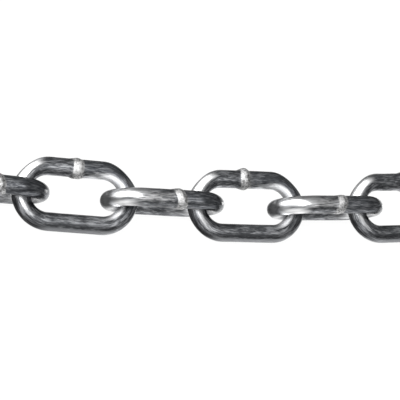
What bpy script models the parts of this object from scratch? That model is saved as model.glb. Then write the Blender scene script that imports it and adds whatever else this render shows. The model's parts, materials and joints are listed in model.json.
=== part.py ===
"""A metre of welded iron chain, lying on a level floor in a shallow bow.

Metres, +Z up, +X along the chain, with the origin on the floor under the middle of it. The links lie the
way chain settles when it is pulled straight: each is rolled 45 degrees about the chain's line, to one
side and to the other in turn, so that every link stands on its lower leg. A link's own frame has X along
the link, Y across it in its plane, upwards, and Z out of its plane. Its origin is the point on the
crown of the link before it that it swings about.
"""

import math

import bmesh
import bpy
from mathutils import Matrix, Vector

# Driving dimensions
WIRE_DIAMETER = 0.010
INNER_LENGTH = 0.050
OUTER_WIDTH = 0.040
LINK_COUNT = 20
CLEARANCE = 0.0003

# The butt weld in the middle of the upper leg: a collar with a short crest
WELD_LENGTH = 0.0066
WELD_CREST_LENGTH = 0.0024
WELD_PROUD = 0.0012

# How finely the wire is faceted
WIRE_SIDES = 12
CROWN_STEPS = 10

# The lay: the rolls that odd and even links take in turn, and the bow's greatest turn from the X axis
ROLLS = (math.radians(45), math.radians(135))
BOW = math.radians(7.8)

IRON_COLOUR = (0.13, 0.133, 0.14, 1.0)
IRON_ROUGHNESS = 0.4
MERGE_DISTANCE = 0.00001

WIRE_RADIUS = WIRE_DIAMETER / 2
# The corners stand as far outside the round wire as the flats lie inside it, so the area is the wire's
CORNER_RADIUS = WIRE_RADIUS * math.sqrt(2 * math.pi / (WIRE_SIDES * math.sin(2 * math.pi / WIRE_SIDES)))
FLAT_RADIUS = CORNER_RADIUS * math.cos(math.pi / WIRE_SIDES)
BEND_RADIUS = (OUTER_WIDTH - WIRE_DIAMETER) / 2
HALF_LENGTH = (INNER_LENGTH + WIRE_DIAMETER) / 2
HALF_LEG = HALF_LENGTH - BEND_RADIUS
# From the wire's centre in one crown to the wire's centre in the crown that it holds
CROSSING = 2 * CORNER_RADIUS + CLEARANCE
SPACING = 2 * HALF_LENGTH - CROSSING
LINK_HEIGHT = BEND_RADIUS * math.sin(ROLLS[0]) + FLAT_RADIUS


def iron():
    """Dark drawn iron wire."""
    material = bpy.data.materials.new("chain_iron")
    material.use_nodes = True
    shader = material.node_tree.nodes["Principled BSDF"]
    shader.inputs["Base Color"].default_value = IRON_COLOUR
    shader.inputs["Roughness"].default_value = IRON_ROUGHNESS
    shader.inputs["Metallic"].default_value = 1.0
    return material


def made_of(items, kind):
    return [item for item in items if isinstance(item, kind)]


def start_wire(mesh, place):
    """A ring of wire at a place on the upper leg. A corner points along the link's plane."""
    across = Matrix.Translation(place) @ Matrix.Rotation(math.pi / 2, 4, "Y")
    ring = bmesh.ops.create_circle(mesh, segments=WIRE_SIDES, radius=CORNER_RADIUS, matrix=across)
    return list({edge for vert in ring["verts"] for edge in vert.link_edges})


def draw_straight(mesh, edges, distance, swell=1.0):
    """Draws the wire on along X, and swells the new ring about its own centre."""
    made = bmesh.ops.extrude_edge_only(mesh, edges=edges)["geom"]
    verts = made_of(made, bmesh.types.BMVert)
    bmesh.ops.translate(mesh, verts=verts, vec=(distance, 0, 0))
    centre = sum((vert.co for vert in verts), Vector()) / len(verts)
    bmesh.ops.scale(mesh, verts=verts, vec=(1, swell, swell), space=Matrix.Translation(-centre))
    return made_of(made, bmesh.types.BMEdge)


def bend_crown(mesh, edges, centre):
    """Bends the wire half a turn clockwise about a crown's centre."""
    spun = bmesh.ops.spin(
        mesh, geom=edges, cent=centre, axis=(0, 0, 1), angle=-math.pi, steps=CROWN_STEPS
    )
    return made_of(spun["geom_last"], bmesh.types.BMEdge)


def link_mesh():
    """One link: a stadium of round wire, closed by the weld in its upper leg."""
    half_weld = WELD_LENGTH / 2
    slope = (WELD_LENGTH - WELD_CREST_LENGTH) / 2
    crest = (WIRE_RADIUS + WELD_PROUD) / WIRE_RADIUS

    link = bmesh.new()
    wire = start_wire(link, Vector((half_weld, BEND_RADIUS, 0)))
    wire = draw_straight(link, wire, HALF_LEG - half_weld)
    wire = bend_crown(link, wire, Vector((HALF_LEG, 0, 0)))
    wire = draw_straight(link, wire, -2 * HALF_LEG)
    wire = bend_crown(link, wire, Vector((-HALF_LEG, 0, 0)))
    wire = draw_straight(link, wire, HALF_LEG - half_weld)
    wire = draw_straight(link, wire, slope, crest)
    wire = draw_straight(link, wire, WELD_CREST_LENGTH)
    draw_straight(link, wire, slope, 1 / crest)
    bmesh.ops.remove_doubles(link, verts=link.verts, dist=MERGE_DISTANCE)
    bmesh.ops.recalc_face_normals(link, faces=link.faces)

    # The link hangs from the origin by its left crown
    bmesh.ops.translate(link, verts=link.verts, vec=(HALF_LENGTH - CROSSING, 0, 0))
    data = bpy.data.meshes.new("link")
    link.to_mesh(data)
    link.free()
    data.shade_smooth()
    data.set_sharp_from_angle(angle=math.radians(50))
    return data


def link_turn(number):
    """How a link is turned where it lies: rolled to its side, and headed along the bow."""
    middle = (LINK_COUNT + 1) / 2
    heading = BOW * math.sin(2 * math.pi * (number - middle) / LINK_COUNT)
    return Matrix.Rotation(heading, 3, "Z") @ Matrix.Rotation(ROLLS[(number - 1) % 2], 3, "X")


def lay_links(data):
    """Makes the links, each held by the one before it."""
    links = []
    for number in range(1, LINK_COUNT + 1):
        link = bpy.data.objects.new(f"link_{number:02d}", data)
        bpy.context.scene.collection.objects.link(link)
        turn = link_turn(number)
        if links:
            link.parent = links[-1]
            link.location = (SPACING, 0, 0)
            turn = link_turn(number - 1).inverted() @ turn
        link.rotation_euler = turn.to_euler()
        links.append(link)
    return links


def set_on_floor(links):
    """Moves the chain so that the origin is under the middle of its box, with its links at their height."""
    bpy.context.view_layer.update()
    points = [link.matrix_world @ vert.co for link in links for vert in link.data.vertices]
    middle_x = (min(point.x for point in points) + max(point.x for point in points)) / 2
    middle_y = (min(point.y for point in points) + max(point.y for point in points)) / 2
    links[0].location = (-middle_x, -middle_y, LINK_HEIGHT)


def main():
    for old in list(bpy.data.objects):
        bpy.data.objects.remove(old)
    data = link_mesh()
    data.materials.append(iron())
    set_on_floor(lay_links(data))


main()
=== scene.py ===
"""A metre of welded iron chain on a pale floor, seen close up and from its front left.

Metres, +Z up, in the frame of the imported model. Each link is made about its own middle and then laid in its
place: X along the link, Y across it in its plane with the weld in the upper leg, and Z out of its plane.
"""

import json
import math
import random
from collections import namedtuple

import bmesh
import bpy
import numpy as np
from mathutils import Matrix, Vector, noise


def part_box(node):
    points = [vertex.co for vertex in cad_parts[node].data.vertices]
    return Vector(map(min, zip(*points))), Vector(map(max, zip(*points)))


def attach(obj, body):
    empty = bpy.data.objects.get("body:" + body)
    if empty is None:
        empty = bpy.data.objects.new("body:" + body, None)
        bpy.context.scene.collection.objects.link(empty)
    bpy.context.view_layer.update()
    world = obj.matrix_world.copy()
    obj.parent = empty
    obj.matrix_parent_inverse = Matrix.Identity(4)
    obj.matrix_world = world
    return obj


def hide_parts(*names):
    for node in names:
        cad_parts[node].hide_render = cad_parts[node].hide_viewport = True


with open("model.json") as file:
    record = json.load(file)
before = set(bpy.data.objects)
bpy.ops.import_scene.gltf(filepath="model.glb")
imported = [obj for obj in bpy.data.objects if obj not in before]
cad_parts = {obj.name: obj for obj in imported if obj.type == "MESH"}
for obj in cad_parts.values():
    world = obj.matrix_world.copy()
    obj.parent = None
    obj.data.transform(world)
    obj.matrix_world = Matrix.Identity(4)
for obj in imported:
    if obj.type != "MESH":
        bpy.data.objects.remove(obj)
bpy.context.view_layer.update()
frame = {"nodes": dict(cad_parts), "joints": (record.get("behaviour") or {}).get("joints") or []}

MM = 0.001

# The link, as the solids have it
WIRE_RADIUS = 5 * MM
INNER_LENGTH = 50 * MM
OUTER_WIDTH = 40 * MM
CROSSING = 10.533 * MM
ROLLS = (math.radians(45), math.radians(135))
BOW = math.radians(7.8)

LINK_COUNT = len(frame["nodes"])
HALF_LENGTH = INNER_LENGTH / 2 + WIRE_RADIUS
BEND_RADIUS = OUTER_WIDTH / 2 - WIRE_RADIUS
HALF_LEG = HALF_LENGTH - BEND_RADIUS
SPACING = 2 * HALF_LENGTH - CROSSING
CROWN_LENGTH = math.pi * BEND_RADIUS
WIRE_LENGTH = 4 * HALF_LEG + 2 * CROWN_LENGTH

# How finely the wire is drawn
WIRE_SIDES = 64
CROWN_STEPS = 56
LEG_STEPS = 18
WELD_STEPS = 72
WELD_REACH = 8.5 * MM
MERGE_DISTANCE = 0.01 * MM

# The hand-worked unevenness of the wire: its height, length and width, and how far the noise that gives it
# is shifted from one link to the next
SWELL = 0.07 * MM
SWELL_ALONG = 9 * MM
SWELL_AROUND = 5 * MM
HAMMER = 0.03 * MM
HAMMER_ALONG = 2.6 * MM
HAMMER_AROUND = 2.2 * MM
SHIFT_ALONG = 3.1
SHIFT_ACROSS = 1.7

# Where the wire bears on its neighbour, the crown's inner side stands proud of the solid's facets, and how
# quickly that dies out round the crown
SEAT_PROUD = 0.12 * MM
SEAT_FALL = 4

# How much thinner the bends are outside, at their shoulders, beside the weld and away from it
UPPER_THINNING = 1.1 * MM
LOWER_THINNING = 0.2 * MM

# The weld: half its length, and its edge's wander and its grain
WELD_HALF = 3.0 * MM
WELD_WANDER = 0.6 * MM
WANDER_SCALE = 1.7
WELD_GRAIN = 0.8 * MM

# As shares of that half length, from its middle: its crest, where its left side starts to rise, the ends of
# its collar, how far out the wire is upset, and how far bright metal and slag overlap
WELD_CREST = 0.1
WELD_RISE = -1.6
COLLAR_LEFT = -1.1
COLLAR_RIGHT = 1.05
UPSET_REACH = 1.5
SEAM_OVERLAP = 0.2

# How steep the edges of the collar, of its seam and of its bright patch are, and how much the grain
# roughens the slag and the patch's edge
COLLAR_EDGE = 4.0
SEAM_EDGE = 5.0
SPOT_EDGE = 5.0
SLAG_GRAIN = 0.35
SPOT_GRAIN = 0.4

# One weld. In mm: how far it lies from the leg's middle, how far it stands out outside the link and inside
# it, and how far the wire beside it is upset inside. Then how it leans, and the share at which its bright
# metal gives way to slag. In degrees: how far round from the link's outside the bright metal is, and its
# spread
WeldFacts = namedtuple("WeldFacts", "aside outer inner upset lean seam spot spread")

# The welds that the camera sees, and the ranges that the others are drawn from
SEEN_WELDS = {
    8: WeldFacts(4.5, 0.9, 0.5, 0.2, 0.15, 0.0, -90, 30),
    9: WeldFacts(0.0, 0.7, 0.1, 0.7, 0.05, 0.3, 97, 42),
    10: WeldFacts(4.0, 0.8, 0.6, 0.3, 0.2, 0.1, -3, 40),
    11: WeldFacts(-1.6, 1.5, 0.9, 0.1, 0.0, 0.1, 70, 27),
    12: WeldFacts(0.3, 0.5, 0.4, 0.2, -0.25, 0.0, -22, 26),
    13: WeldFacts(3.0, 1.0, 0.7, 0.2, 0.1, 0.3, 160, 30),
}
WELD_LEAST = WeldFacts(-2, 0.4, 0.3, 0.1, -0.3, 0.0, -180, 20)
WELD_MOST = WeldFacts(4, 1.3, 0.9, 0.6, 0.3, 0.45, 180, 45)

# The camera, round the middle of the tenth link
CAMERA_LINK = 10
CAMERA_AZIMUTH = math.radians(26.34)
CAMERA_ELEVATION = math.radians(32.99)
CAMERA_ROLL = math.radians(17.74)
CAMERA_DISTANCE = 1.0
CAMERA_ASIDE = 20.0 * MM
CAMERA_ABOVE = 1.1 * MM
CAMERA_LENS = 165.6
CAMERA_SENSOR = 36.0

# The softboxes: azimuth and elevation in degrees, width and height as shares of their distance, and
# radiance
SOFTBOX_DISTANCE = 1.5
SOFTBOXES = {
    "key_softbox": (-168, 48, (1.9, 0.75), 9),
    "back_softbox": (115, 18, (0.8, 0.7), 2),
    "front_softbox": (-84, 33, (0.85, 0.8), 2.2),
    "left_strip": (179, 18, (0.64, 0.34), 5),
}

# The radiance of the world's parts
WHITE_LIGHT = 1.05
DARK_FLOOR = 0.35
BRIGHT_FLOOR = 3.0
LEFT_LIGHT = 0.25
RIGHT_LIGHT = 0.55
CEILING_LIGHT = 1.2
FRONT_LIGHT = 1.6

# Where those parts begin and are full, by the direction that the metal sees them in: by its X for the right
# wall and the floor's bright side, by its Z for the ceiling, by how far it faces the front left for the front
# wall, and by how far it points down for the floor, whose far edge is a little raised
RIGHT_WALL = (-0.3, 0.3)
BRIGHT_SIDE = (-0.2, 0.45)
CEILING = (0.7, 1.0)
FRONT_WALL = (0.65, 0.9)
FRONT_X, FRONT_Y = -0.57, -0.82
FLOOR_EDGE = (0.25, 0.55)
FLOOR_RAISE = 0.3

# The floor: how far it reaches each way, the grey that it is and how rough, and the white that it glows with
FLOOR_REACH = 20.0
FLOOR_SHADE = 0.03
FLOOR_ROUGHNESS = 0.9
FLOOR_GLOW = 0.97


class Field:
    """A number, vector or colour that changes over a surface. An operator on numbers adds a Math node."""

    def __init__(self, nodes, socket):
        self.nodes = nodes
        self.socket = socket

    def maths(self, operation, *values):
        return self.nodes.node("ShaderNodeMath", {"operation": operation}, dict(enumerate(values)))

    def __add__(self, other):
        return self.maths("ADD", self, other)

    def __sub__(self, other):
        return self.maths("SUBTRACT", self, other)

    def __rsub__(self, other):
        return self.maths("SUBTRACT", other, self)

    def __mul__(self, other):
        return self.maths("MULTIPLY", self, other)

    def __mod__(self, reach):
        """Runs up to a reach and back to 0, again and again."""
        return self.maths("PINGPONG", self, reach)

    def __neg__(self):
        return self * -1

    def __abs__(self):
        return self.maths("ABSOLUTE", self)

    __radd__ = __add__
    __rmul__ = __mul__


class Nodes:
    """The nodes of a material or of the world."""

    def __init__(self, tree, shader):
        self.tree = tree
        self.shader = tree.nodes[shader]

    def feed(self, socket, value):
        """Links a field to a socket, or sets the socket to a value."""
        if isinstance(value, Field):
            self.tree.links.new(value.socket, socket)
        else:
            socket.default_value = value

    def node(self, kind, settings, inputs, output=0):
        """Adds a node, with its settings first and then its sockets, and gives one of its outputs."""
        node = self.tree.nodes.new(kind)
        for name, value in settings.items():
            setattr(node, name, value)
        for name, value in inputs.items():
            self.feed(node.inputs[name], value)
        return Field(self, node.outputs[output])

    def attribute(self, name, output="Fac"):
        return self.node("ShaderNodeAttribute", {"attribute_name": name}, {}, output)

    def set(self, **inputs):
        for name, value in inputs.items():
            self.feed(self.shader.inputs[name.replace("_", " ")], value)


def new_material(name):
    """A new material and its nodes."""
    material = bpy.data.materials.new(name)
    material.use_nodes = True
    return material, Nodes(material.node_tree, "Principled BSDF")


def grey(value, blue=0.0):
    """A grey, with a little blue in it."""
    return (value * (1 - blue), value * (1 - blue / 3), value * (1 + blue), 1.0)


def parts(vector):
    """The X, Y and Z of a place or a direction."""
    return [vector.nodes.node("ShaderNodeSeparateXYZ", {}, {"Vector": vector}, axis) for axis in "XYZ"]


def step(value, low, high):
    """0 below low, 1 above high, and smooth between them."""
    return value.nodes.node(
        "ShaderNodeMapRange",
        {"interpolation_type": "SMOOTHSTEP"},
        {"Value": value, "From Min": low, "From Max": high},
    )


def band(value, begins, full, fades, ends):
    """0 outside a band, 1 where it is full, and smooth between them."""
    return step(value, begins, full) * (1 - step(value, fades, ends))


def blended(share, first, second):
    """A number between two."""
    return first * (1 - share) + share * second


def mixed(share, first, second):
    """A colour between two."""
    return share.nodes.node(
        "ShaderNodeMix",
        {"data_type": "RGBA"},
        {0: share, 6: first, 7: second},
        output=2,
    )


def stretched_noise(place, along, around, detail, roughness, distortion):
    """Noise drawn out along the wire: streaks of that length and width in metres."""
    scaled = place.nodes.node(
        "ShaderNodeVectorMath",
        {"operation": "MULTIPLY"},
        {0: place, 1: (1 / along, 1 / around, 1 / around)},
    )
    return place.nodes.node(
        "ShaderNodeTexNoise",
        {},
        {
            "Vector": scaled,
            "Scale": 1.0,
            "Detail": detail,
            "Roughness": roughness,
            "Distortion": distortion,
        },
    )


def wander(streaks, reach):
    """Noise about 0, which moves the edge of a mark to and fro."""
    return (streaks - 0.5) * reach


# The noises along the wire: how long and wide their streaks are, then detail, roughness and distortion
DRIFT = (25 * MM, 9 * MM, 1.0, 0.5, 0.0)
PATCHES = (10 * MM, 3.5 * MM, 2.0, 0.5, 0.0)
STREAKS = (4.5 * MM, 0.65 * MM, 3.0, 0.6, 0.25)
THREADS = (2.5 * MM, 0.35 * MM, 2.0, 0.5, 0.1)
GRAINS = (1.2 * MM, 0.9 * MM, 3.0, 0.6, 0.0)

# The levels of noise between which lighter threads, flecks, the streaks of the painted sheen and the light
# between pits come up, and how much the patches add to the flecks
THREAD_LEVELS = (0.35, 0.65)
FLECK_LEVELS = (0.7, 0.95)
LEG_SHEEN_LEVELS = (0.3, 0.6)
PIT_LEVELS = (0.3, 0.66)
FLECK_PATCHES = 0.5

# Where the marks of wear and the painted highlights, glint and shade are. A pair says where something begins
# and is full, and four numbers say after that where it starts to fade and ends. Places along the wire are
# past the weld, with the left bend below 0. Those outwards and sideways are from the wire's middle
RIGHT_SIDE = (-1 * MM, 1 * MM)
LOWER_RIGHT = (40 * MM, 60 * MM)

# The brushed edge of the polish, of the rubbing with its painted highlight and of the painted highlight along
# the inner edge, as far from the middle of its leg, and how far two noises move it
POLISH = (12 * MM, 22 * MM)
LEFT_RUB_AND_HIGHLIGHT = (21 * MM, 31 * MM)
RIGHT_RUB_AND_HIGHLIGHT = (9 * MM, 16 * MM)
INNER_RIM_REACH = (1 * MM, 8 * MM)
BRUSH_STREAKS = 16 * MM
BRUSH_DRIFT = 8 * MM

# The left bend's rubbed outside, bare metal that is also a painted highlight, which begins sooner on its
# back, and the scale that its lower half keeps
LEFT_RUB_AND_HIGHLIGHT_OUTWARDS = (-2 * MM, 1 * MM)
BACK_SIDE = (-2 * MM, 1 * MM)
BACK_SOONER = 12 * MM
KEPT_ALONG = (-64 * MM, -56 * MM, -44 * MM, -34 * MM)
KEPT_OUTWARDS = (1 * MM, 3 * MM)

# The right bend's rubbed inside, nearly white bare metal that is also a painted highlight, which begins
# sooner in its lower half, and how far it fades on the lower leg
RIGHT_RUB_AND_HIGHLIGHT_INWARDS = (1.6 * MM, 3.2 * MM)
LOWER_SOONER = 6 * MM
RIGHT_RUB_AND_HIGHLIGHT_FADING = (50 * MM, 64 * MM)
RIGHT_RUB_AND_HIGHLIGHT_FADED = 0.9

# The painted highlight along the inner edge, from there to the weld
INNER_RIM_INWARDS = (2.4 * MM, 4.2 * MM)

# The painted streaked highlight left of the weld, trailing the left bend's highlight, how far it fades near
# the weld, and where its sides start to fade and end
LEG_SHEEN_ALONG = (-30 * MM, -18 * MM)
LEG_SHEEN_FADING = (-14 * MM, 0 * MM)
LEG_SHEEN_FADED = 0.6
LEG_SHEEN_OUTWARDS = (0.5 * MM, 3 * MM)
LEG_SHEEN_SIDES = (1.2 * MM, 3.4 * MM)
LEG_SHEEN_WANDER = 2 * MM

# The scorching right of the weld
SCORCH_ALONG = (2 * MM, 4 * MM, 34 * MM, 52 * MM)

# The painted highlight patch on the left bend's upper shoulder
SHOULDER_HIGHLIGHT_ALONG = (-36 * MM, -29 * MM, -25 * MM, -17 * MM)
SHOULDER_HIGHLIGHT_OUTWARDS = (0 * MM, 1.5 * MM, 3.2 * MM, 4.6 * MM)
SHOULDER_HIGHLIGHT_FRONT = (0.5 * MM, 2.5 * MM)
SHOULDER_HIGHLIGHT_WANDER = 3 * MM

# The small painted glint outside the right bend: its middle, and where its edges start to fade and end
TIP_GLINT_ALONG = 30 * MM
TIP_GLINT_SIDEWAYS = 0.5 * MM
TIP_GLINT_HALF_LENGTH = (0.6 * MM, 1.8 * MM)
TIP_GLINT_HALF_WIDTH = (0.4 * MM, 1.4 * MM)
TIP_GLINT_OUTWARDS = (0 * MM, 1 * MM)
TIP_GLINT_WANDER = 2 * MM

# The lower leg's outer edge, with a painted light rim and painted shade beside it, and how far from the leg's
# middle both start to fade and end
LOWER_LEG = (14 * MM, 26 * MM)
LOWER_LEG_WANDER = 8 * MM
RIM_LIGHT_OUTWARDS = (3 * MM, 3.8 * MM)
RIM_SHADE_OUTWARDS = (0 * MM, 1.2 * MM, 2.4 * MM, 3.4 * MM)
RIM_WANDER = 1.5 * MM

# How light the iron is in each state, and the painted light and shade on it
DARK_SCALE = grey(0.032, 0.06)
LIGHT_SCALE = grey(0.105, 0.04)
FLECKED = grey(0.23, 0.03)
# A painted streaked highlight left of the weld
LEG_SHEEN_PAINT = grey(0.34)
# Painted shade and a painted light rim at the lower leg's outer edge
RIM_SHADE_PAINT = grey(0.03, 0.05)
RIM_LIGHT_PAINT = grey(0.14, 0.03)
SCORCHED = grey(0.03, 0.15)
# A painted highlight along the inner edge
INNER_RIM_PAINT = grey(0.5, 0.02)
# A painted glint at the right bend's tip
TIP_GLINT_PAINT = grey(0.7)
# Rubbed bare metal, whose lightness is also a painted highlight
RUBBED_LEFT_AND_HIGHLIT = grey(0.27, 0.01)
RUBBED_RIGHT_AND_HIGHLIT = grey(0.9, 0.01)
# A painted highlight patch, light and rough
SHOULDER_HIGHLIGHT_PAINT = grey(0.8)
SLAG_PIT, SLAG = grey(0.09), grey(0.34)
WELD_PIT, WELD = grey(0.25), grey(0.45)
GRAZING_TINT = grey(0.6)

# How much of the light threads shows, and how much of the scale rubbing and its painted highlight take off
THREAD_COVER = 0.7
RUB_AND_HIGHLIGHT_COVER = 0.85

# How rough the iron is
SCALE_ROUGHNESS = 0.4
BEND_POLISH = 0.12
SHOULDER_HIGHLIGHT_ROUGHENING = 0.2
RUB_AND_HIGHLIGHT_ROUGHENING = 0.22
SLAG_ROUGHNESS = 0.5
WELD_ROUGHNESS = 0.6

# Its relief, and the shares of it that streaks, threads, slag and weld have
RELIEF = 0.04 * MM
RELIEF_STRENGTH = 0.5
STREAK_RELIEF = 0.6
THREAD_RELIEF = 0.25
SLAG_RELIEF = 0.8
WELD_RELIEF = 0.1


class IronWire:
    """Where a point lies on a link's wire, the noise there, and the marks of wear, painted highlights, glint
    and shade that these give.
    """

    def __init__(self, nodes):
        place = nodes.attribute("wire", "Vector")
        self.along, self.outwards, self.sideways = parts(place)
        self.drift = stretched_noise(place, *DRIFT)
        self.patches = stretched_noise(place, *PATCHES)
        self.streaks = stretched_noise(place, *STREAKS)
        self.threads = stretched_noise(place, *THREADS)
        self.grains = stretched_noise(place, *GRAINS)
        self.past_weld = self.along.maths("WRAP", self.along, WIRE_LENGTH / 2, -WIRE_LENGTH / 2)
        self.right = step(self.past_weld, *RIGHT_SIDE)
        self.lower_right = step(self.past_weld, *LOWER_RIGHT)
        from_leg = self.along % (WIRE_LENGTH / 4)
        self.brushed = from_leg + wander(self.streaks, BRUSH_STREAKS) + wander(self.drift, BRUSH_DRIFT)

    def left_rub_and_highlight(self):
        """Bare metal outside the left bend, lighter, which is also a painted highlight. Its lower half keeps
        its scale at the very outside.
        """
        back = step(-self.sideways, *BACK_SIDE)
        kept = band(self.past_weld, *KEPT_ALONG) * step(self.outwards, *KEPT_OUTWARDS)
        rub_and_highlight = step(self.brushed + back * BACK_SOONER, *LEFT_RUB_AND_HIGHLIGHT)
        return rub_and_highlight * step(self.outwards, *LEFT_RUB_AND_HIGHLIGHT_OUTWARDS) * (1 - kept)

    def right_rub_and_highlight(self):
        """Bare metal inside the right bend, nearly white, which is also a painted highlight, fading towards
        the lower leg.
        """
        rub_and_highlight = step(self.brushed + self.lower_right * LOWER_SOONER, *RIGHT_RUB_AND_HIGHLIGHT)
        fading = step(self.past_weld, *RIGHT_RUB_AND_HIGHLIGHT_FADING) * RIGHT_RUB_AND_HIGHLIGHT_FADED
        return rub_and_highlight * step(-self.outwards, *RIGHT_RUB_AND_HIGHLIGHT_INWARDS) * (1 - fading)

    def painted_inner_rim(self):
        """A painted highlight along the inner edge, from the right bend to the weld."""
        reach = step(self.brushed, *INNER_RIM_REACH) * self.right * (1 - self.lower_right)
        return reach * step(-self.outwards, *INNER_RIM_INWARDS)

    def painted_leg_sheen(self):
        """A painted streaked highlight in a narrow band outside, left of the weld, trailing the left bend's
        highlight.
        """
        fading = step(self.past_weld, *LEG_SHEEN_FADING) * LEG_SHEEN_FADED
        reach = step(self.past_weld, *LEG_SHEEN_ALONG) * (1 - fading)
        beside = abs(self.sideways) + wander(self.drift, LEG_SHEEN_WANDER)
        strip = step(self.outwards, *LEG_SHEEN_OUTWARDS) * (1 - step(beside, *LEG_SHEEN_SIDES))
        return reach * strip * (1 - self.right) * step(self.streaks, *LEG_SHEEN_LEVELS)

    def painted_shoulder_highlight(self):
        """A painted highlight patch on the left bend's upper shoulder, to the front."""
        front = step(self.sideways + wander(self.drift, SHOULDER_HIGHLIGHT_WANDER), *SHOULDER_HIGHLIGHT_FRONT)
        return band(self.past_weld, *SHOULDER_HIGHLIGHT_ALONG) * band(self.outwards, *SHOULDER_HIGHLIGHT_OUTWARDS) * front

    def painted_tip_glint(self):
        """A small painted glint outside the right bend."""
        lengthways = abs(self.past_weld - TIP_GLINT_ALONG) + wander(self.patches, TIP_GLINT_WANDER)
        crossways = abs(self.sideways - TIP_GLINT_SIDEWAYS + wander(self.streaks, TIP_GLINT_WANDER))
        spot = (1 - step(lengthways, *TIP_GLINT_HALF_LENGTH)) * (1 - step(crossways, *TIP_GLINT_HALF_WIDTH))
        return spot * step(self.outwards, *TIP_GLINT_OUTWARDS)

    def lower_edge(self):
        """The lower leg's outer edge, painted light as a reflected rim, and the painted shade beside it."""
        from_middle = WIRE_LENGTH / 2 - abs(self.past_weld) + wander(self.patches, LOWER_LEG_WANDER)
        low = 1 - step(from_middle, *LOWER_LEG)
        edge = self.outwards + wander(self.drift, RIM_WANDER)
        return low * step(edge, *RIM_LIGHT_OUTWARDS), low * band(edge, *RIM_SHADE_OUTWARDS)


def iron_finish():
    """Iron with dark scale in streaks along its legs, bright where the bends have rubbed, and its weld, with
    highlights, a glint and shade painted into its colour.
    """
    material, nodes = new_material("chain_iron")
    weld = nodes.attribute("weld")
    slag = nodes.attribute("slag")
    wire = IronWire(nodes)
    pitted = step(wire.grains, *PIT_LEVELS)
    right_rub_and_highlight = wire.right_rub_and_highlight()
    rubbed_and_highlit = blended(wire.right, wire.left_rub_and_highlight(), right_rub_and_highlight)
    painted_shoulder_highlight = wire.painted_shoulder_highlight()
    painted_rim_light, painted_rim_shade = wire.lower_edge()

    # Each mark over the ones before it: how much of them it covers, and its shade
    marks = (
        (step(wire.streaks + wire.patches * FLECK_PATCHES, *FLECK_LEVELS), 1.0, FLECKED),
        # A painted streaked highlight left of the weld
        (wire.painted_leg_sheen(), 0.8, LEG_SHEEN_PAINT),
        # Painted shade and a painted light rim at the lower leg's outer edge
        (painted_rim_shade, 0.7, RIM_SHADE_PAINT),
        (painted_rim_light, 0.75, RIM_LIGHT_PAINT),
        (band(wire.past_weld, *SCORCH_ALONG), 0.35, SCORCHED),
        # A painted highlight along the inner edge
        (wire.painted_inner_rim(), 0.8, INNER_RIM_PAINT),
        # A painted glint at the right bend's tip
        (wire.painted_tip_glint(), 1.0, TIP_GLINT_PAINT),
        # Rubbed bare metal, also a painted highlight
        (rubbed_and_highlit, RUB_AND_HIGHLIGHT_COVER, mixed(wire.right, RUBBED_LEFT_AND_HIGHLIT, RUBBED_RIGHT_AND_HIGHLIT)),
        # A painted highlight patch on the left bend's shoulder
        (painted_shoulder_highlight, 1.0, SHOULDER_HIGHLIGHT_PAINT),
        (slag, 1.0, mixed(pitted, SLAG_PIT, SLAG)),
        (weld, 1.0, mixed(pitted, WELD_PIT, WELD)),
    )
    shade = mixed(step(wire.threads, *THREAD_LEVELS) * THREAD_COVER, DARK_SCALE, LIGHT_SCALE)
    for mark, cover, look in marks:
        shade = mixed(mark * cover, shade, look)

    rough = SCALE_ROUGHNESS - step(wire.brushed, *POLISH) * BEND_POLISH
    rough = rough + painted_shoulder_highlight * SHOULDER_HIGHLIGHT_ROUGHENING + right_rub_and_highlight * wire.right * RUB_AND_HIGHLIGHT_ROUGHENING
    rough = blended(weld, blended(slag, rough, SLAG_ROUGHNESS), WELD_ROUGHNESS)

    drawn = wire.streaks * STREAK_RELIEF + wire.threads * THREAD_RELIEF
    height = drawn * (1 - slag) * (1 - rubbed_and_highlit * RUB_AND_HIGHLIGHT_COVER)
    height = height + pitted * (slag * SLAG_RELIEF + weld * WELD_RELIEF)
    bump = nodes.node(
        "ShaderNodeBump",
        {},
        {"Strength": RELIEF_STRENGTH, "Distance": RELIEF, "Height": height},
    )
    nodes.set(Base_Color=shade, Metallic=1.0, Roughness=rough, Normal=bump, Specular_Tint=GRAZING_TINT)
    return material


def floor_finish():
    """A plain white studio floor, lit from within so that only a faint shadow falls on it."""
    material, nodes = new_material("pale_floor")
    nodes.set(Base_Color=grey(FLOOR_SHADE), Roughness=FLOOR_ROUGHNESS, Specular_IOR_Level=0.0)
    nodes.set(Emission_Color=grey(1.0), Emission_Strength=FLOOR_GLOW)
    return material


def made_of(items, kind):
    return [item for item in items if isinstance(item, kind)]


def start_wire(mesh, place):
    """The edges of a ring of wire at a place on the upper leg."""
    across = Matrix.Translation(place) @ Matrix.Rotation(math.pi / 2, 4, "Y")
    ring = bmesh.ops.create_circle(mesh, segments=WIRE_SIDES, radius=WIRE_RADIUS, matrix=across)
    return list(dict.fromkeys(edge for vert in ring["verts"] for edge in vert.link_edges))


def draw_straight(mesh, edges, distance, steps):
    """Draws the wire on along X, in short steps."""
    for _ in range(steps):
        made = bmesh.ops.extrude_edge_only(mesh, edges=edges)["geom"]
        bmesh.ops.translate(mesh, verts=made_of(made, bmesh.types.BMVert), vec=(distance / steps, 0, 0))
        edges = made_of(made, bmesh.types.BMEdge)
    return edges


def bend_crown(mesh, edges, centre):
    """Bends the wire half a turn clockwise about a crown's centre."""
    spun = bmesh.ops.spin(
        mesh, geom=edges, cent=centre, axis=(0, 0, 1), angle=-math.pi, steps=CROWN_STEPS
    )
    return made_of(spun["geom_last"], bmesh.types.BMEdge)


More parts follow.
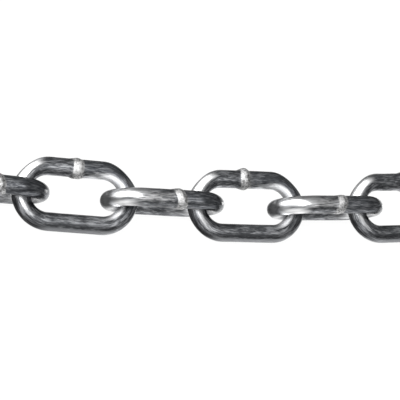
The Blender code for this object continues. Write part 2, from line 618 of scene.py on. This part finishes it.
def plain_link():
    """One link of round wire about its own middle, drawn from the weld round to the weld."""
    weld_side = HALF_LEG - WELD_REACH
    link = bmesh.new()
    wire = start_wire(link, Vector((0, BEND_RADIUS, 0)))
    wire = draw_straight(link, wire, WELD_REACH, WELD_STEPS // 2)
    wire = draw_straight(link, wire, weld_side, LEG_STEPS // 2)
    wire = bend_crown(link, wire, Vector((HALF_LEG, 0, 0)))
    wire = draw_straight(link, wire, -2 * HALF_LEG, LEG_STEPS)
    wire = bend_crown(link, wire, Vector((-HALF_LEG, 0, 0)))
    wire = draw_straight(link, wire, weld_side, LEG_STEPS // 2)
    draw_straight(link, wire, WELD_REACH, WELD_STEPS // 2)
    bmesh.ops.remove_doubles(link, verts=link.verts, dist=MERGE_DISTANCE)
    bmesh.ops.recalc_face_normals(link, faces=link.faces)
    return link


def wire_place(point):
    """The wire's middle next to a point of the link, and how far along the wire that is from the weld."""
    if abs(point.x) <= HALF_LEG:
        side = math.copysign(1, point.y)
        middle = Vector((point.x, side * BEND_RADIUS, 0))
        along = point.x if side > 0 else 2 * HALF_LEG + CROWN_LENGTH - point.x
        return middle, along % WIRE_LENGTH
    side = math.copysign(1, point.x)
    centre = Vector((side * HALF_LEG, 0, 0))
    out = Vector((point.x, point.y, 0)) - centre
    turned = math.atan2(side * out.x, side * out.y)
    start = HALF_LEG if side > 0 else 3 * HALF_LEG + CROWN_LENGTH
    return centre + out.normalized() * BEND_RADIUS, start + turned * BEND_RADIUS


class WirePoint:
    """Where a point of the plain link lies on the wire: along it, and round it from the link's outside."""

    def __init__(self, point):
        self.point = point.copy()
        self.middle, self.along = wire_place(point)
        leg_end = max(-HALF_LEG, min(HALF_LEG, self.middle.x))
        outward = (self.middle - Vector((leg_end, 0, 0))).normalized()
        self.radial = (point - self.middle).normalized()
        self.out = self.radial.dot(outward)
        # How far round a crown the point is: 0 on a leg, a quarter turn at the crown's end
        self.crown = math.acos(min(1.0, abs(outward.y)))

    def sampled(self, along, around, offset):
        """The place where noise is read, for unevenness of that length and width."""
        section = Vector((0, self.out, self.radial.z)) * (WIRE_RADIUS / around)
        return Vector((self.along / along, 0, 0)) + section + offset


def mark_wire(link):
    """Stores where each corner of a face lies on the wire: along it, outwards and sideways."""
    layer = link.loops.layers.float_vector.new("wire")
    places = [WirePoint(vert.co) for vert in link.verts]
    link.verts.index_update()
    for face in link.faces:
        face_along = wire_place(face.calc_center_median())[1]
        for loop in face.loops:
            place = places[loop.vert.index]
            along = place.along - WIRE_LENGTH * round((place.along - face_along) / WIRE_LENGTH)
            loop[layer] = Vector((along, place.out * WIRE_RADIUS, place.radial.z * WIRE_RADIUS))
    return places


def smooth(share):
    """0 below 0, 1 above 1, and smooth between them."""
    share = max(0.0, min(1.0, share))
    return share * share * (3 - 2 * share)


class Weld:
    """The butt weld in a link's upper leg: a long rise of bright metal, and a shorter, rougher fall."""

    def __init__(self, number):
        self.number = number
        draw = random.Random(number)
        drawn = WeldFacts(*(draw.uniform(*ends) for ends in zip(WELD_LEAST, WELD_MOST)))
        facts = SEEN_WELDS.get(number, drawn)
        self.aside, self.outer, self.inner, self.upset = (length * MM for length in facts[:4])
        self.lean = facts.lean
        self.seam = facts.seam
        self.spot = math.radians(facts.spot)
        self.spread = math.radians(facts.spread)

    def share(self, place):
        """How far along the weld a point is, from -1 at its left end to 1 at its right end."""
        around = Vector((place.out, place.radial.z, self.number))
        wandering = WELD_WANDER * noise.noise(around * WANDER_SCALE)
        lean = self.lean * place.radial.z * WIRE_RADIUS
        return (place.middle.x - self.aside - lean + wandering) / WELD_HALF

    def shape(self, place):
        """How far the weld stands out of the wire at a point, and how much there is bright metal and slag."""
        if place.middle.y < 0 or abs(place.middle.x) > WELD_REACH:
            return 0.0, 0.0, 0.0
        share = self.share(place)
        grain = noise.noise(place.sampled(WELD_GRAIN, WELD_GRAIN, Vector((self.number, 0, 0))))
        end = 1.0 if share > WELD_CREST else WELD_RISE
        bulge = smooth((end - share) / (end - WELD_CREST))
        collar = smooth((share - COLLAR_LEFT) * COLLAR_EDGE) * smooth((COLLAR_RIGHT - share) * COLLAR_EDGE)
        rough = collar * smooth((share - self.seam) * SEAM_EDGE)
        upset = max(0.0, -place.out) * smooth(UPSET_REACH - abs(share))
        proud = self.inner + (self.outer - self.inner) * (1 + place.out) / 2
        stand = proud * bulge * (1 + SLAG_GRAIN * grain * rough) + self.upset * upset
        facing = place.out * math.cos(self.spot) + place.radial.z * math.sin(self.spot)
        spot = smooth((facing + SPOT_GRAIN * grain - math.cos(self.spread)) * SPOT_EDGE + 0.5)
        bright = collar * smooth((self.seam + SEAM_OVERLAP - share) * SEAM_EDGE) * spot
        return stand, bright, max(collar, upset)


def wire_height(place, offset):
    """How far a point of the wire, apart from its weld, stands out of the plain round wire."""
    inner, outer = max(0.0, -place.out), max(0.0, place.out)
    upper = place.middle.y > 0
    # The unevenness dies out at the weld, where the wire's two ends meet
    calm = min(1.0, abs(place.middle.x) / WELD_REACH) if upper else 1.0
    height = SWELL * calm * noise.noise(place.sampled(SWELL_ALONG, SWELL_AROUND, offset))
    height += HAMMER * calm * noise.noise(place.sampled(HAMMER_ALONG, HAMMER_AROUND, offset))
    height += SEAT_PROUD * inner * max(0.0, math.sin(place.crown)) ** SEAT_FALL
    thinned = UPPER_THINNING if upper else LOWER_THINNING
    return height - thinned * outer * math.sin(2 * place.crown) ** 2


def shape_link(places, number):
    """Where one link's points end up about its middle, and how much of each is bright metal and slag."""
    offset = Vector((number * SHIFT_ALONG, number * SHIFT_ACROSS, 0))
    weld = Weld(number)
    points, bright, slag = [], [], []
    for place in places:
        stand, bright_here, slag_here = weld.shape(place)
        points.append(place.point + place.radial * (wire_height(place, offset) + stand))
        bright.append(bright_here)
        slag.append(slag_here)
    return points, {"weld": bright, "slag": slag}


def link_turn(number):
    """How a link is turned where it lies: rolled to its side, and headed along the bow."""
    middle = (LINK_COUNT + 1) / 2
    heading = BOW * math.sin(2 * math.pi * (number - middle) / LINK_COUNT)
    return Matrix.Rotation(heading, 3, "Z") @ Matrix.Rotation(ROLLS[(number - 1) % 2], 3, "X")


def link_places():
    """Where each link lies: the frame of its own middle."""
    turns = [link_turn(number) for number in range(1, LINK_COUNT + 1)]
    pivots = [Vector(joint["pos_m"]) for joint in frame["joints"]]
    pivots.insert(0, pivots[0] - turns[0] @ Vector((SPACING, 0, 0)))
    from_pivot = Matrix.Translation((HALF_LENGTH - CROSSING, 0, 0))
    return [
        Matrix.Translation(pivot) @ turn.to_4x4() @ from_pivot for pivot, turn in zip(pivots, turns)
    ]


def write_link(name, plain, points, masks, offset):
    """A link's own mesh, from the plain one. The offset along the wire gives it streaks of its own."""
    data = plain.copy()
    data.name = name
    data.vertices.foreach_set("co", np.array(points, np.float32).ravel())
    wire = data.attributes["wire"].data
    corners = np.empty(3 * len(wire), np.float32)
    wire.foreach_get("vector", corners)
    corners[0::3] += offset
    wire.foreach_set("vector", corners)
    for mask, values in masks.items():
        data.attributes.new(mask, "FLOAT", "POINT").data.foreach_set("value", values)
    data.update()
    return data


def build_links():
    """Every link, dressed and laid where the solids lie."""
    link = plain_link()
    places = mark_wire(link)
    plain = bpy.data.meshes.new("plain_link")
    link.to_mesh(plain)
    link.free()
    plain.shade_smooth()
    plain.materials.append(iron_finish())
    for number, laid in enumerate(link_places(), start=1):
        body = f"link_{number:02d}"
        points, masks = shape_link(places, number)
        name = f"forged_{body}"
        data = write_link(name, plain, [laid @ point for point in points], masks, number * WIRE_LENGTH)
        piece = bpy.data.objects.new(name, data)
        bpy.context.scene.collection.objects.link(piece)
        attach(piece, body)
        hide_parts(body)
    bpy.data.meshes.remove(plain)


def camera_axes():
    """The camera's right, its up and the way that it looks."""
    level = math.cos(CAMERA_ELEVATION)
    ahead = Vector(
        (
            math.sin(CAMERA_AZIMUTH) * level,
            math.cos(CAMERA_AZIMUTH) * level,
            -math.sin(CAMERA_ELEVATION),
        )
    )
    flat = Vector((math.cos(CAMERA_AZIMUTH), -math.sin(CAMERA_AZIMUTH), 0))
    over = flat.cross(ahead)
    right = flat * math.cos(CAMERA_ROLL) + over * math.sin(CAMERA_ROLL)
    return right, right.cross(ahead), ahead


def set_camera():
    """A long lens, looking down at the chain."""
    right, above, ahead = camera_axes()
    lowest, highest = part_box(f"link_{CAMERA_LINK:02d}")
    middle = (lowest + highest) / 2
    data = bpy.data.cameras.new("camera")
    data.lens = CAMERA_LENS
    data.sensor_width = CAMERA_SENSOR
    camera = bpy.data.objects.new("camera", data)
    axes = Matrix((right, above, -ahead)).transposed()
    place = middle - ahead * CAMERA_DISTANCE + right * CAMERA_ASIDE + above * CAMERA_ABOVE
    camera.matrix_world = Matrix.Translation(place) @ axes.to_4x4()
    bpy.context.scene.collection.objects.link(camera)
    bpy.context.scene.camera = camera


def build_floor():
    """A wide, level floor under the chain."""
    mesh = bmesh.new()
    bmesh.ops.create_grid(mesh, x_segments=1, y_segments=1, size=FLOOR_REACH)
    data = bpy.data.meshes.new("floor")
    mesh.to_mesh(data)
    mesh.free()
    data.materials.append(floor_finish())
    floor = bpy.data.objects.new("floor", data)
    # The world's lower half stands in for the floor in reflections, so that white doesn't wash them out
    floor.visible_glossy = False
    bpy.context.scene.collection.objects.link(floor)


def softbox(name, azimuth, elevation, size, radiance):
    """A soft light, facing the chain."""
    azimuth, elevation = math.radians(azimuth), math.radians(elevation)
    level = math.cos(elevation)
    toward = Vector((math.cos(azimuth) * level, math.sin(azimuth) * level, math.sin(elevation)))
    data = bpy.data.lights.new(name, "AREA")
    data.shape = "RECTANGLE"
    data.size, data.size_y = (SOFTBOX_DISTANCE * side for side in size)
    data.energy = radiance * math.pi * data.size * data.size_y
    lamp = bpy.data.objects.new(name, data)
    lamp.location = toward * SOFTBOX_DISTANCE
    lamp.rotation_euler = toward.to_track_quat("Z", "Y").to_euler()
    bpy.context.scene.collection.objects.link(lamp)


def studio_world():
    """White to the camera and to the floor. The metal sees a dim studio, bright at its front left and
    overhead, whose floor is bright at the right."""
    world = bpy.data.worlds.new("studio")
    world.use_nodes = True
    nodes = Nodes(world.node_tree, "Background")
    aside, ahead, height = parts(nodes.node("ShaderNodeTexCoord", {}, {}, "Generated"))
    seen_by_metal = nodes.node("ShaderNodeLightPath", {}, {}, "Is Glossy Ray")
    walls = mixed(step(aside, *RIGHT_WALL), grey(LEFT_LIGHT), grey(RIGHT_LIGHT))
    walls = mixed(step(aside * FRONT_X + ahead * FRONT_Y, *FRONT_WALL), walls, grey(FRONT_LIGHT))
    above = mixed(step(height, *CEILING), walls, grey(CEILING_LIGHT))
    floor = mixed(step(aside, *BRIGHT_SIDE), grey(DARK_FLOOR), grey(BRIGHT_FLOOR))
    studio = mixed(step(ahead * FLOOR_RAISE - height, *FLOOR_EDGE), above, floor)
    nodes.set(Color=mixed(seen_by_metal, grey(WHITE_LIGHT), studio))
    bpy.context.scene.world = world


def light_studio():
    """The softboxes and the world, shown as they are."""
    for name, facts in SOFTBOXES.items():
        softbox(name, *facts)
    studio_world()
    bpy.context.scene.view_settings.view_transform = "Standard"


set_camera()
build_floor()
light_studio()
build_links()
